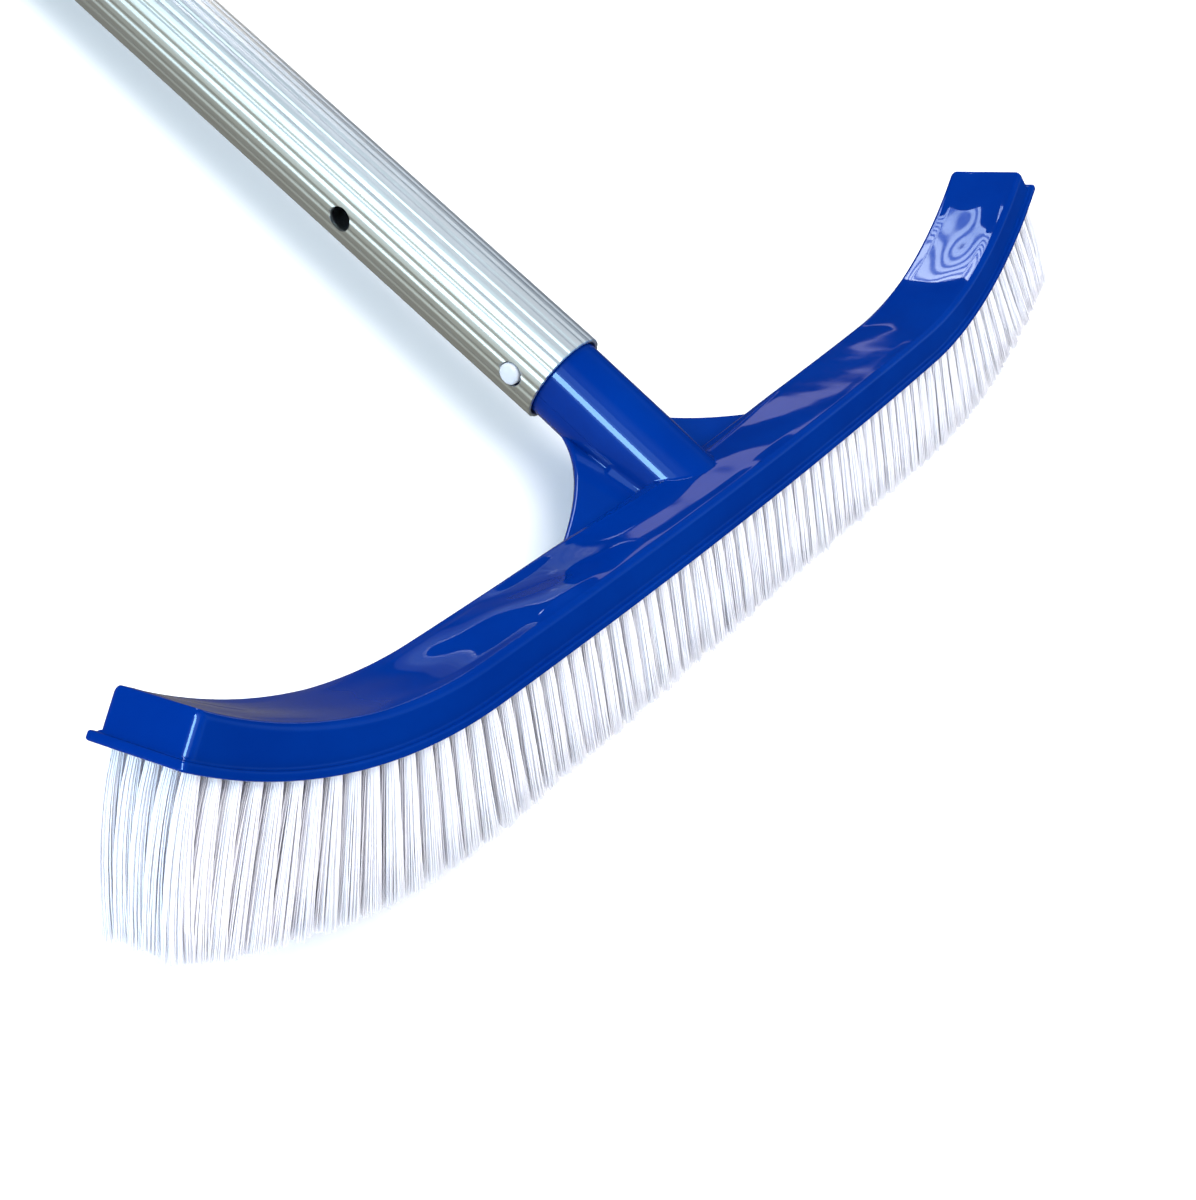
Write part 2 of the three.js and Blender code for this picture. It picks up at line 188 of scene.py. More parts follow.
def add_camera():
    """A camera placed over the brush's left end, in the brush's own frame."""
    spot = Vector((-378.93, -264.26, 205.51))
    forward = Vector((0.68554, 0.57233, -0.44997))
    up = Vector((0.44323, 0.16223, 0.88161))
    long_side_angle = math.radians(40.647)
    data = bpy.data.cameras.new("camera")
    data.sensor_width = 36
    data.lens = data.sensor_width / 2 / math.tan(long_side_angle / 2)
    data.clip_start = 0.01
    camera = bpy.data.objects.new("camera", data)
    turn = HEAD.to_3x3() * (1 / MM)
    matrix = Matrix.Identity(4)
    matrix.col[0].xyz = turn @ forward.cross(up)
    matrix.col[1].xyz = turn @ up
    matrix.col[2].xyz = turn @ -forward
    matrix.col[3].xyz = HEAD @ spot
    camera.matrix_world = matrix
    bpy.context.scene.collection.objects.link(camera)
    bpy.context.scene.camera = camera


add_camera()

# ---- Material nodes --------------------------------------------------------------------------


class Shader:
    """A material with one Principled node, and short ways to add the nodes that feed it."""

    def __init__(self, name, **sockets):
        self.material = bpy.data.materials.new(name)
        self.material.use_nodes = True
        self.tree = self.material.node_tree
        self.surface = self.tree.nodes["Principled BSDF"]
        for socket, value in sockets.items():
            self.surface.inputs[socket.replace("_", " ")].default_value = value

    def node(self, kind, **values):
        """A node of that kind, with its own settings and its input sockets' values."""
        made = self.tree.nodes.new(kind)
        for key, value in values.items():
            if hasattr(made, key):
                setattr(made, key, value)
            else:
                made.inputs[key.replace("_", " ")].default_value = value
        return made

    def link(self, source, target):
        """A link from one node's output to another's input."""
        self.tree.links.new(source, target)

    def noise(self, scale, detail=3, roughness=0.55, stretch=(1, 1, 1)):
        """Noise in the row frame, stretched along an axis where its factor is small."""
        place = self.node("ShaderNodeTexCoord")
        mapping = self.node("ShaderNodeMapping", Scale=stretch)
        texture = self.node("ShaderNodeTexNoise", Scale=scale, Detail=detail, Roughness=roughness)
        self.link(place.outputs["Object"], mapping.inputs["Vector"])
        self.link(mapping.outputs["Vector"], texture.inputs["Vector"])
        return texture.outputs["Fac"]

    def spread(self, value, low, high, start=0.0, end=1.0):
        """A value between start and end, mapped to one between low and high."""
        ranged = self.node("ShaderNodeMapRange", From_Min=start, From_Max=end, To_Min=low, To_Max=high)
        self.link(value, ranged.inputs["Value"])
        return ranged.outputs["Result"]

    def blend(self, value, first, second):
        """A colour between two, by a value from 0 to 1."""
        mix = self.node("ShaderNodeMix", data_type="RGBA")
        mix.inputs["A"].default_value = (*first, 1)
        mix.inputs["B"].default_value = (*second, 1)
        self.link(value, mix.inputs["Factor"])
        return mix.outputs["Result"]

    def bump(self, *layers):
        """Bumps over each other, each a value with its height in metres."""
        normal = None
        for value, height in layers:
            bump = self.node("ShaderNodeBump", Distance=height)
            self.link(value, bump.inputs["Height"])
            if normal:
                self.link(normal, bump.inputs["Normal"])
            normal = bump.outputs["Normal"]
        self.link(normal, self.surface.inputs["Normal"])


def blue_plastic():
    """Glossy moulded plastic, with faint flow marks and the soft waves of an injection mould."""
    shader = Shader("blue_plastic", IOR=1.5, Specular_IOR_Level=0.3)
    shader.surface.inputs["Specular Tint"].default_value = (0.4, 0.65, 1.0, 1.0)
    clouds = shader.noise(30, detail=4)
    marks = shader.spread(clouds, 0, 1, 0.35, 0.65)
    colour = shader.blend(marks, (0.0, 0.018, 0.168), (0.0, 0.022, 0.19))
    shader.link(colour, shader.surface.inputs["Base Color"])
    scuffs = shader.noise(420, detail=5, roughness=0.7)
    shader.link(shader.spread(scuffs, 0.02, 0.06, 0.35, 0.75), shader.surface.inputs["Roughness"])
    waves = shader.noise(55, detail=1)
    shader.bump((waves, 0.00007), (scuffs, 0.0000004))
    return shader.material


def bristle_nylon():
    """Extruded nylon filament, milky, with a slight change of tone from tuft to tuft."""
    shader = Shader("bristle_nylon", IOR=1.53, Subsurface_Weight=0.3, Subsurface_Scale=0.001)
    shader.surface.inputs["Subsurface Radius"].default_value = (1.0, 0.95, 0.98)
    clumps = shader.noise(160, detail=2)
    colour = shader.blend(
        shader.spread(clumps, 0, 1, 0.35, 0.65), (0.88, 0.875, 0.945), (0.93, 0.925, 0.975)
    )
    shader.link(colour, shader.surface.inputs["Base Color"])
    drawn = shader.noise(900, detail=2)
    shader.link(shader.spread(drawn, 0.34, 0.55), shader.surface.inputs["Roughness"])
    return shader.material


def clip_nylon():
    """Milky moulded nylon with a satin surface."""
    shader = Shader("clip_nylon", IOR=1.53)
    clouds = shader.noise(120)
    colour = shader.blend(clouds, (0.50, 0.52, 0.56), (0.60, 0.62, 0.66))
    shader.link(colour, shader.surface.inputs["Base Color"])
    shader.link(shader.spread(clouds, 0.25, 0.45), shader.surface.inputs["Roughness"])
    shader.bump((shader.noise(900), 0.00001))
    return shader.material


def pole_aluminium():
    """Extruded aluminium: die lines along it, a dull skin and a few scratches across."""
    shader = Shader("pole_aluminium", Metallic=1.0)
    lines = shader.noise(900, detail=4, stretch=(1, 0.01, 1))
    tarnish = shader.noise(18, detail=5, roughness=0.65)
    colour = shader.blend(
        shader.spread(tarnish, 0, 1, 0.35, 0.7), (0.86, 0.92, 0.94), (0.80, 0.84, 0.85)
    )
    shader.link(colour, shader.surface.inputs["Base Color"])
    shader.link(shader.spread(lines, 0.38, 0.50, 0.3, 0.7), shader.surface.inputs["Roughness"])
    scratches = shader.noise(260, detail=6, roughness=0.8, stretch=(1, 6, 1))
    worn = shader.spread(scratches, 0, 1, 0.6, 0.75)
    shader.bump((lines, 0.000008), (worn, 0.000004))
    return shader.material


def grip_vinyl():
    """Soft blue vinyl with a fine moulded grain."""
    shader = Shader("grip_vinyl", IOR=1.45)
    clouds = shader.noise(60)
    colour = shader.blend(clouds, (0.004, 0.018, 0.11), (0.007, 0.028, 0.16))
    shader.link(colour, shader.surface.inputs["Base Color"])
    grain = shader.noise(1400, detail=2)
    shader.link(shader.spread(grain, 0.5, 0.7), shader.surface.inputs["Roughness"])
    shader.bump((grain, 0.00008))
    return shader.material


MATERIALS = {
    make.__name__: make()
    for make in (blue_plastic, bristle_nylon, clip_nylon, pole_aluminium, grip_vinyl)
}

# ---- Meshes ----------------------------------------------------------------------------------


def object_of(name, points, faces, matrix):
    """A mesh object from millimetre points in a frame, with its place in its mesh."""
    mesh = bpy.data.meshes.new(name)
    mesh.from_pydata(turned_by(matrix, points).tolist(), [], faces)
    made = bpy.data.objects.new(name, mesh)
    bpy.context.scene.collection.objects.link(made)
    return made


def combined(base, operation, tool):
    """The base with a tool joined to it or cut from it."""
    modifier = base.modifiers.new("combine", "BOOLEAN")
    modifier.operation = operation
    modifier.solver = "MANIFOLD"
    modifier.object = tool
    graph = bpy.context.evaluated_depsgraph_get()
    mesh = bpy.data.meshes.new_from_object(base.evaluated_get(graph))
    base.modifiers.clear()
    base.data = mesh
    bpy.data.objects.remove(tool)
    return base


def finished(made, body, slot, nodes, sharp=28):
    """Gives a piece its finish and its body, and hides the CAD nodes that it stands for."""
    made.data.materials.clear()
    made.data.materials.append(MATERIALS[slot])
    made.data.polygons.foreach_set("material_index", np.zeros(len(made.data.polygons), int))
    made.data.shade_smooth()
    made.data.set_sharp_from_angle(angle=math.radians(sharp))
    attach(made, body)
    if nodes:
        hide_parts(*nodes)
    return made


def lofted(rings, closed=False, capped=True):
    """Points and faces of a body through rings of equally many points, wound to face out."""
    count = len(rings[0])
    faces = []
    pairs = [(ring, ring + 1) for ring in range(len(rings) - 1)]
    if closed:
        pairs.append((len(rings) - 1, 0))
    for low, high in pairs:
        for i in range(count):
            j = (i + 1) % count
            faces.append((low * count + i, low * count + j, high * count + j, high * count + i))
    if capped and not closed:
        faces.append(tuple(range(count - 1, -1, -1)))
        top = (len(rings) - 1) * count
        faces.append(tuple(range(top, top + count)))
    return np.concatenate(rings), faces


def circle(radius, height, sides):
    """A ring round Z. A radius and a height can be lists with one value for each side."""
    angle = np.linspace(0, 2 * math.pi, sides, endpoint=False)
    return np.stack([radius * np.cos(angle), radius * np.sin(angle), height + 0 * angle], axis=1)


def lathe(profile, sides):
    """A body turned round Z. Its profile's points are (radius, height), from the bottom up."""
    return lofted([circle(radius, height, sides) for radius, height in profile])


def arc(centre, radius, start, end, steps):
    """Points of an arc in a plane, with its angles in degrees."""
    angles = np.radians(np.linspace(start, end, steps + 1))
    return [(centre[0] + radius * math.cos(a), centre[1] + radius * math.sin(a)) for a in angles]


# ---- The bend of the back -------------------------------------------------------------------


def bend_at(s):
    """How far the back has turned at a distance along it, and its underside's x and z there."""
    inner = np.minimum(np.abs(s), MIDDLE_HALF_LENGTH) / MIDDLE_RADIUS
    turn = inner + np.maximum(np.abs(s) - MIDDLE_HALF_LENGTH, 0) / END_RADIUS
    x = MIDDLE_RADIUS * np.sin(inner) + END_RADIUS * (np.sin(turn) - np.sin(inner))
    z = MIDDLE_RADIUS * (1 - np.cos(inner)) + END_RADIUS * (np.cos(inner) - np.cos(turn))
    return np.sign(s) * turn, np.sign(s) * x, z


def bent(s, y, n):
    """Points that are s along the back, y across it and n above its underside."""
    turn, x, z = bend_at(s)
    return np.stack([x - n * np.sin(turn), y + 0 * x, z + n * np.cos(turn)], axis=-1)


# ---- Brush back -------------------------------------------------------------------------------


def back_outline(inset):
    """s and y round the back, from the middle of its left end along the near side first."""
    corner = LIP_CORNER_RADIUS if inset < 0 else max(CORNER_RADIUS - inset, 0.3)
    half_length = BACK_HALF_LENGTH - (inset * END_EDGE_SHARE if inset > 0 else inset)
    half_width = BACK_WIDTH / 2 - inset
    end_steps = 6
    end_y = (half_width - corner) * (np.arange(end_steps) + 0.5) / end_steps
    turn = np.linspace(0, math.pi / 2, 11)
    corner_s = half_length - corner + corner * np.sin(turn)
    corner_y = half_width - corner + corner * np.cos(turn)
    side_s = np.linspace(corner - half_length, half_length - corner, 361)[1:-1]
    s = np.concatenate([
        np.full(end_steps, -half_length), -corner_s[::-1], side_s, corner_s,
        np.full(end_steps, half_length),
    ])
    y = np.concatenate([
        end_y, corner_y[::-1], np.full(len(side_s), half_width), corner_y, end_y[::-1],
    ])
    return np.concatenate([s, s[::-1]]), np.concatenate([-y, y[::-1]])


def past_witness_line(s, y):
    """How far a point on the top lies beyond the slanting line beside the tube."""
    beside_web = np.maximum(WEB_HALF_SPAN + 4 - np.abs(s), 0)
    return y - (BACK_WIDTH / 2 - EDGE_RADIUS - 0.08 * beside_web)


def far_slope(s, y):
    """How far the strip along the far edge, beside the tube, has sloped down to the webs."""
    beside = np.clip((WEB_HALF_SPAN + 4 - np.abs(s)) / 20, 0, 1)
    return 0.14 * beside * np.clip(past_witness_line(s, y), 0, None)


def end_rise(s):
    """How much thicker the back is than in its middle, towards its ends."""
    past = np.maximum(np.abs(s) - END_RISE_START, 0)
    return END_RISE * past / (BACK_HALF_LENGTH - END_RISE_START)


def top_height(s, y, inset):
    """The top's height: nearly flat, with shallow sinks where the plastic shrank as it cooled.

    They are shallowest right of the tube and deepest left of it. Beside the tube a fine raised
    line bounds the strip that slopes down to the webs.
    """
    calmest, calm_reach = 85, 110
    deepest, deep_reach, deepening = -95, 38, 1.8
    calm = np.clip(np.abs(s - calmest) / calm_reach, 0.15, 1)
    depth = calm + deepening * np.exp(-(((s - deepest) / deep_reach) ** 2))
    waves = (
        0.13 * np.sin(s / 9.1 + 1.1 * np.sin(y / 5.3))
        + 0.07 * np.sin(s / 5.7 - y / 4.1 + 2)
        + 0.16 * np.cos(s / 17 + y / 6.3)
    )
    fade = depth * min((inset - EDGE_RADIUS) / 3, 1)
    beside = np.clip((WEB_HALF_SPAN + 4 - np.abs(s)) / 6, 0, 1)
    line = 0.1 * beside * np.exp(-((past_witness_line(s, y) / 0.5) ** 2))
    return BACK_HEIGHT + end_rise(s) + waves * fade - far_slope(s, y) + line


def back_shell():
    """The back without its tube: a lip, a groove over it, walls, a round edge and the top."""
    lip_round, groove, groove_dip = 0.6, 0.7, 0.05
    lip_inset = -LIP_OVERHANG + lip_round
    profile = [(lip_inset, 0.0)]
    profile += arc((lip_inset, lip_round), lip_round, 270, 180, 4)[1:]
    profile += arc((lip_inset, LIP_HEIGHT - lip_round), lip_round, 180, 90, 4)
    profile += [(-groove, LIP_HEIGHT - groove_dip)]
    profile += arc((-groove, LIP_HEIGHT + groove - groove_dip), groove, 270, 360, 5)[1:]
    profile += arc((EDGE_RADIUS, BACK_HEIGHT - EDGE_RADIUS), EDGE_RADIUS, 180, 90, 10)
    rings = []
    for inset, height in profile:
        s, y = back_outline(inset)
        edge_share = max(height - BACK_HEIGHT + EDGE_RADIUS, 0) / EDGE_RADIUS
        rise = end_rise(s) if height > BACK_HEIGHT / 2 else 0
        rings.append(bent(s, y, height + rise - far_slope(s, y) * edge_share))
    for inset in np.linspace(EDGE_RADIUS, BACK_WIDTH / 2 - 0.5, 31)[1:]:
        s, y = back_outline(inset)
        rings.append(bent(s, y, top_height(s, y, inset)))
    points, faces = lofted(rings, capped=False)
    count = len(rings[0])
    top = (len(rings) - 1) * count
    for i in range(count // 2 - 1):
        opposite = count - 1 - i
        faces.append((opposite, opposite - 1, i + 1, i))
        faces.append((top + i, top + i + 1, top + opposite - 1, top + opposite))
    return object_of("brush_back_moulding", points, faces, HEAD)


def handle_tube():
    """The solid tube, from a flat heel level with the underside to its chamfered mouth."""
    sides = 160
    mouth_chamfer = 0.8
    ring = turned_by(TUBE_IN_HEAD, circle(TUBE_RADIUS, 0, sides))
    axis = np.array(TUBE_IN_HEAD)[:3, 2]
    heel = ring - np.outer(ring[:, 2] / axis[2], axis)
    shoulder = turned_by(TUBE_IN_HEAD, circle(TUBE_RADIUS, TUBE_END - mouth_chamfer, sides))
    mouth = turned_by(TUBE_IN_HEAD, circle(TUBE_RADIUS - mouth_chamfer, TUBE_END, sides))
    points, faces = lofted([heel, shoulder, mouth])
    return object_of("tube", points, faces, HEAD)


def parting_line(side):
    """The fine raised line that the mould's halves leave along the tube, on one of its sides."""
    width, proud, buried = 0.16, 0.1, 0.5
    section = np.array([(-buried, -width), (proud, -width / 2), (proud, width / 2), (-buried, width)])
    rings = []
    for height in (BORE_FLOOR, TUBE_END - 2):
        x = side * (TUBE_RADIUS + section[:, 0])
        rings.append(np.column_stack([x, section[:, 1], np.full(len(section), height)]))
    return object_of("parting_line", *lofted(rings), HEAD @ TUBE_IN_HEAD)


def cylinder(radius, low, high, sides, matrix):
    """A plain round tool for cutting, on the Z axis of a frame."""
    points, faces = lathe([(radius, low), (radius, high)], sides)
    return object_of("cutter", points, faces, matrix)


def across(matrix, height):
    """A frame whose Z axis lies along another's X, at a height on that one's Z."""
    return matrix @ Matrix.Translation((0, 0, height)) @ Matrix.Rotation(math.pi / 2, 4, "Y")


def web_outline():
    """Half the plate's outline in its own plane, from its root's middle to its reach's middle."""
    start = np.array([WEB_HALF_SPAN, 0])
    end = np.array([WEB_NECK, WEB_REACH])
    t = np.linspace(0, 1, 61)[:, None]
    curve = (1 - t) ** 2 * start + 2 * t * (1 - t) * WEB_PULL + t**2 * end
    return np.concatenate([[[WEB_HALF_SPAN, -WEB_ROOT_DEPTH]], curve])


def web_plate():
    """One plate through the tube, with both free edges concave and rounded over."""
    half = web_outline()
    outline = np.concatenate([half, half[::-1] * [-1, 1]])
    step = np.roll(outline, -1, axis=0) - np.roll(outline, 1, axis=0)
    inward = np.stack([-step[:, 1], step[:, 0]], axis=1)
    inward /= np.linalg.norm(inward, axis=1)[:, None]
    radius = 1.1
    profile = arc((radius, radius - WEB_THICKNESS), radius, 270, 180, 6)
    profile += arc((radius, -radius), radius, 180, 90, 6)
    rings = []
    for inset, height in profile:
        edge = outline + inward * inset
        rings.append(np.column_stack([edge, np.full(len(edge), height)]))
    points, faces = lofted(rings)
    return object_of("webs", points, faces, HEAD @ web_frame())


def web_frame():
    """The plate's frame in the brush's: X along the brush, Z out of the plate's upper face."""
    rise = Matrix.Rotation(WEB_ANGLE, 4, "X")
    return Matrix.Translation((0, BACK_WIDTH / 2, WEB_TOP_AT_WALL)) @ rise


def tube_fillet(spot, normal, radii, start, end):
    """The rolling-ball blend between the handle tube and a plane, over a range of angles.

    The angles are round the tube, in degrees: 0 is towards the right end, 270 is its upper side.
    The radii are the blend's, spread evenly over that range.
    """
    frame_array = np.array(TUBE_IN_HEAD)
    axis = frame_array[:3, 2]
    normal = np.array(normal) / np.linalg.norm(normal)
    buried = 0.9
    rings = []
    for share in np.linspace(0, 1, 60):
        angle = math.radians(start + (end - start) * share)
        radius = np.interp(share, np.linspace(0, 1, len(radii)), radii)
        outward = math.cos(angle) * frame_array[:3, 0] + math.sin(angle) * frame_array[:3, 1]
        base = TUBE_FOOT + (TUBE_RADIUS + radius) * outward
        centre = base + axis * (radius - (base - spot) @ normal) / (axis @ normal)
        span = math.acos(outward @ normal)
        ring = []
        for turn in np.linspace(0, span, 9):
            weights = math.sin(span - turn), math.sin(turn)
            towards = (weights[0] * outward + weights[1] * normal) / math.sin(span)
            ring.append(centre - radius * towards)
        ring.append(centre - (radius + buried) * normal)
        ring.append(centre - (radius + buried) * outward)
        rings.append(np.array(ring))
    points, faces = lofted(rings)
    return object_of("fillet", points, faces, HEAD)


def facing_out(made):
    """Turns a closed mesh's faces outwards, whichever way it was wound."""
    mesh = made.data
    mesh.calc_loop_triangles()
    points = np.array([v.co for v in mesh.vertices])
    corners = np.array([t.vertices for t in mesh.loop_triangles])
    a, b, c = points[corners[:, 0]], points[corners[:, 1]], points[corners[:, 2]]
    if (a * np.cross(b, c)).sum() < 0:
        mesh.flip_normals()
    return made


def tuft_places():
    """s and y of every tuft, column by column from the left, with the near row first."""
    columns = (np.arange(TUFT_COLUMNS) - (TUFT_COLUMNS - 1) / 2) * COLUMN_PITCH
    rows = (np.arange(TUFT_ROWS) - (TUFT_ROWS - 1) / 2) * ROW_PITCH
    return [(s, y) for s in columns for y in rows]


def tuft_holes():
    """All the tuft holes as one cutting tool."""
    sides = 20
    points, faces = [], []
    for s, y in tuft_places():
        ring = circle(TUFT_HOLE_RADIUS, 0, sides)
        low = bent(s, 0.0, -1.0) + across_the_bend(s, ring) + [0, y, 0]
        high = bent(s, 0.0, float(TUFT_HOLE_DEPTH)) + across_the_bend(s, ring) + [0, y, 0]
        hole_points, hole_faces = lofted([low, high])
        faces += [tuple(index + len(points) for index in face) for face in hole_faces]
        points.extend(hole_points)
    return object_of("holes", np.array(points), faces, HEAD)


def across_the_bend(s, ring):
    """A flat ring laid in the underside's plane at s."""
    turn = bend_at(s)[0]
    return np.stack([ring[:, 0] * math.cos(turn), ring[:, 1], ring[:, 0] * math.sin(turn)], axis=1)


def brush_back():
    """The whole blue moulding."""
    made = facing_out(back_shell())
    up = np.array([0, 0, 1])
    web_up = np.array(web_frame())[:3, 2]
    web_spot = np.array([0, BACK_WIDTH / 2, WEB_TOP_AT_WALL])
    parts = [
        handle_tube(),
        parting_line(-1),
        parting_line(1),
        web_plate(),
        tube_fillet(np.array([0, 0, BACK_HEIGHT]), up, [0.4, 2, 2.6, 2.6, 2, 0.4], 206, 334),
        tube_fillet(web_spot, web_up, [0.3, 1, 3, 3], 165, 190),
        tube_fillet(web_spot, web_up, [3, 3, 1, 0.3], -10, 15),
    ]
    for part in parts:
        made = combined(made, "UNION", facing_out(part))
    tube = HEAD @ TUBE_IN_HEAD
    past_tube = 30
    cutters = [
        cylinder(BORE_RADIUS, BORE_FLOOR, TUBE_END + 1, 96, tube),
        cylinder(BUTTON_HOLE_RADIUS, -past_tube, past_tube, 48, across(tube, BUTTON_HEIGHT)),
        tuft_holes(),
    ]
    for cutter in cutters:
        made = combined(made, "DIFFERENCE", facing_out(cutter))
    finished(made, "brush", "blue_plastic", ["brush_back"])


brush_back()

# ---- Tufts --------------------------------------------------------------------------------------

FILAMENTS = 110
FILAMENT_RADIUS = 0.17
CLUMPS = 7  # in one tuft
CLUMP_SIZE = 0.9  # how wide a clump stays as it is gathered
TIP_WIDENING = 1.55  # how much wider a tuft is at its tips than in its hole
# The rest are standard deviations, in millimetres.
TUFT_LEAN = 0.22
CLUMP_LEAN = 0.15
FILAMENT_LEAN = 0.15
FILAMENT_BOW = 0.15
FILAMENT_TRIM = 0.22
CLUMP_TRIM = 0.3
random = np.random.default_rng(4)


def tuft_length(s):
    """The trim: straight in the middle, then growing towards the ends."""
    straight = TIP_DROP + bend_at(np.minimum(np.abs(s), MIDDLE_HALF_LENGTH))[2]
    past = np.maximum(np.abs(s) - MIDDLE_HALF_LENGTH, 0)
    share = past / (BACK_HALF_LENGTH - MIDDLE_HALF_LENGTH)
    return straight + (END_TUFT_LENGTH - straight) * share


def tip_lean(s, y):
    """How far the tips of the end tufts lean, along the back and across it."""
    share = (max(abs(s) - LEAN_START, 0) / (LEAN_FULL - LEAN_START)) ** 2
    across_share = np.clip(y / (2 * ROW_PITCH) + 0.5, 0, 1.5) / 1.5
    return np.array([-math.copysign(TIP_LEAN_IN, s) * share, -FAR_TIP_LEAN * share * across_share])


def tuft_axes(s, y):
    """Each filament's line through a tuft: s, y and depth at a few stations, root to tip."""
    golden = math.pi * (3 - math.sqrt(5))
    index = np.arange(FILAMENTS)
    reach = (TUFT_HOLE_RADIUS - 1.3 * FILAMENT_RADIUS) * np.sqrt((index + 0.5) / FILAMENTS)
    root = np.stack([reach * np.cos(index * golden), reach * np.sin(index * golden)], axis=1)
    seeds = root[random.choice(FILAMENTS, CLUMPS, replace=False)]
    member = np.argmin(((root[:, None] - seeds) ** 2).sum(axis=2), axis=1)
    lean = random.normal(0, TUFT_LEAN, 2)
    clump_lean = random.normal(0, CLUMP_LEAN, (CLUMPS, 2))
    gathered = seeds[member] + CLUMP_SIZE * (root - seeds[member])
    tip = gathered * TIP_WIDENING + lean + clump_lean[member]
    tip = tip + random.normal(0, FILAMENT_LEAN, root.shape)
    length = tuft_length(s + tip[:, 0]) + random.normal(0, FILAMENT_TRIM, FILAMENTS)
    length += random.normal(0, CLUMP_TRIM, CLUMPS)[member]
    bow = random.normal(0, FILAMENT_BOW, root.shape)
    push = tip_lean(s, y)
    stations = []
    straight, curved = (0.0, 0.2, 0.6, 1.0), (0.0, 0.15, 0.3, 0.45, 0.6, 0.8, 1.0)
    for share in curved if abs(s) > LEAN_START else straight:
        sideways = root + (tip - root) * share**0.75 + bow * math.sin(math.pi * share)
        sideways = sideways + push * share**1.4
        depth = share * length
        stations.append(np.column_stack([s + sideways[:, 0], y + sideways[:, 1], depth]))
    buried = np.column_stack([s + root[:, 0], y + root[:, 1], np.full(FILAMENTS, -5.0)])
    return np.stack([buried, *stations], axis=1)


def filaments(group):
    """The loose filaments of one group of tufts, as thin four-sided prisms."""
    sides = 4
    paths = []
    middle = (TUFT_COLUMNS - 1) / 2
    for column in range(group * COLUMNS_IN_A_GROUP, (group + 1) * COLUMNS_IN_A_GROUP):
        for row in range(TUFT_ROWS):
            y = (row - (TUFT_ROWS - 1) / 2) * ROW_PITCH
            paths.append(tuft_axes((column - middle) * COLUMN_PITCH, y))
    paths = np.concatenate(paths)
    count, stations = paths.shape[:2]
    spin = random.uniform(0, 2 * math.pi, count)[:, None] + np.arange(sides) * 2 * math.pi / sides
    offset = FILAMENT_RADIUS * np.stack([np.cos(spin), np.sin(spin), 0 * spin], axis=2)
    points = paths[:, :, None, :] + offset[:, None, :, :]
    points = points.reshape(-1, 3)
    points = bent(points[:, 0], points[:, 1], -points[:, 2])
    base = np.arange(count)[:, None] * stations * sides
    faces = []
    for station in range(stations - 1):
        for side in range(sides):
            following = (side + 1) % sides
            low, high = station * sides, (station + 1) * sides
            corners = np.array([low + side, low + following, high + following, high + side])
            faces.append(base + corners)
    faces.append(base + np.arange(sides)[::-1])
    faces.append(base + (stations - 1) * sides + np.arange(sides))
    faces = np.concatenate(faces)
    number = f"{group + 1:02d}"
    made = object_of(f"filaments_{number}", points, faces.tolist(), HEAD)
    rest_on_ground(made)
    finished(made, "brush", "bristle_nylon", [f"tufts_{number}"], sharp=100)


def rest_on_ground(made):
    """Tips that would reach below the ground lie along it instead."""
    just_above = 0.00005
    count = len(made.data.vertices)
    places = np.empty(count * 3, np.float32)
    made.data.vertices.foreach_get("co", places)
    places = places.reshape(-1, 3)
    places[:, 2] = np.maximum(places[:, 2], just_above)
    made.data.vertices.foreach_set("co", places.ravel())


for group in range(TUFT_COLUMNS // COLUMNS_IN_A_GROUP):
    filaments(group)

# ---- Snap clip ----------------------------------------------------------------------------------


def strip_section():
    """The clip's cross-section, as offsets across its thickness and its width."""
    radius = 0.5
    half = np.array([CLIP_THICKNESS / 2 - radius, CLIP_WIDTH / 2 - radius])
    points = []
    for quarter, (side, up) in enumerate([(1, 1), (-1, 1), (-1, -1), (1, -1)]):
        corner = (side * half[0], up * half[1])
        points += arc(corner, radius, 90 * quarter, 90 * quarter + 90, 4)
    return np.array(points)


def clip_bow():
    """The bend of the clip inside the tube."""
    section = strip_section()
    middle = CLIP_OUTER - CLIP_THICKNESS / 2
    rings = []
    for angle in np.radians(np.linspace(180, 360, 49)):
        outward = np.array([math.cos(angle), 0, math.sin(angle)])
        ring = np.outer(middle + section[:, 0], outward) + [0, 0, BOW_CENTRE]
        ring[:, 1] = section[:, 1]
        rings.append(ring)
    made = object_of("snap_clip_bow", *lofted(rings), TUBE)
    finished(facing_out(made), "brush", "clip_nylon", ["clip_bow"])


def clip_arm(name, side, body):
    """One arm of the clip, with a round button that stands through the tube and the pole."""
    section = strip_section()
    middle = side * (CLIP_OUTER - CLIP_THICKNESS / 2)
    rings = []
    for height in (BOW_CENTRE + GAP, ARM_END - 1, ARM_END):
        shrink = 0.8 if height == ARM_END else 1
        ring = np.column_stack([middle + section[:, 0] * shrink, section[:, 1] * shrink])
        rings.append(np.column_stack([ring, np.full(len(ring), height)]))
    arm = facing_out(object_of(name, *lofted(rings), TUBE))
    edge = 0.9
    profile = [(BUTTON_RADIUS, CLIP_OUTER - 1)]
    profile += arc((BUTTON_RADIUS - edge, BUTTON_TOP - 0.3 - edge), edge, 0, 80, 8)
    profile += [(BUTTON_RADIUS * 0.4, BUTTON_TOP - 0.08), (0.3, BUTTON_TOP)]
    turn = Matrix.Rotation(side * math.pi / 2, 4, "Y")
    spot = Matrix.Translation((0, 0, BUTTON_HEIGHT))
    button = facing_out(object_of("button", *lathe(profile, 48), TUBE @ spot @ turn))
    finished(combined(arm, "UNION", button), body, "clip_nylon", [name])


clip_bow()
clip_arm("clip_arm_left", -1, "left_arm")
clip_arm("clip_arm_right", 1, "right_arm")

# ---- Pole ---------------------------------------------------------------------------------------


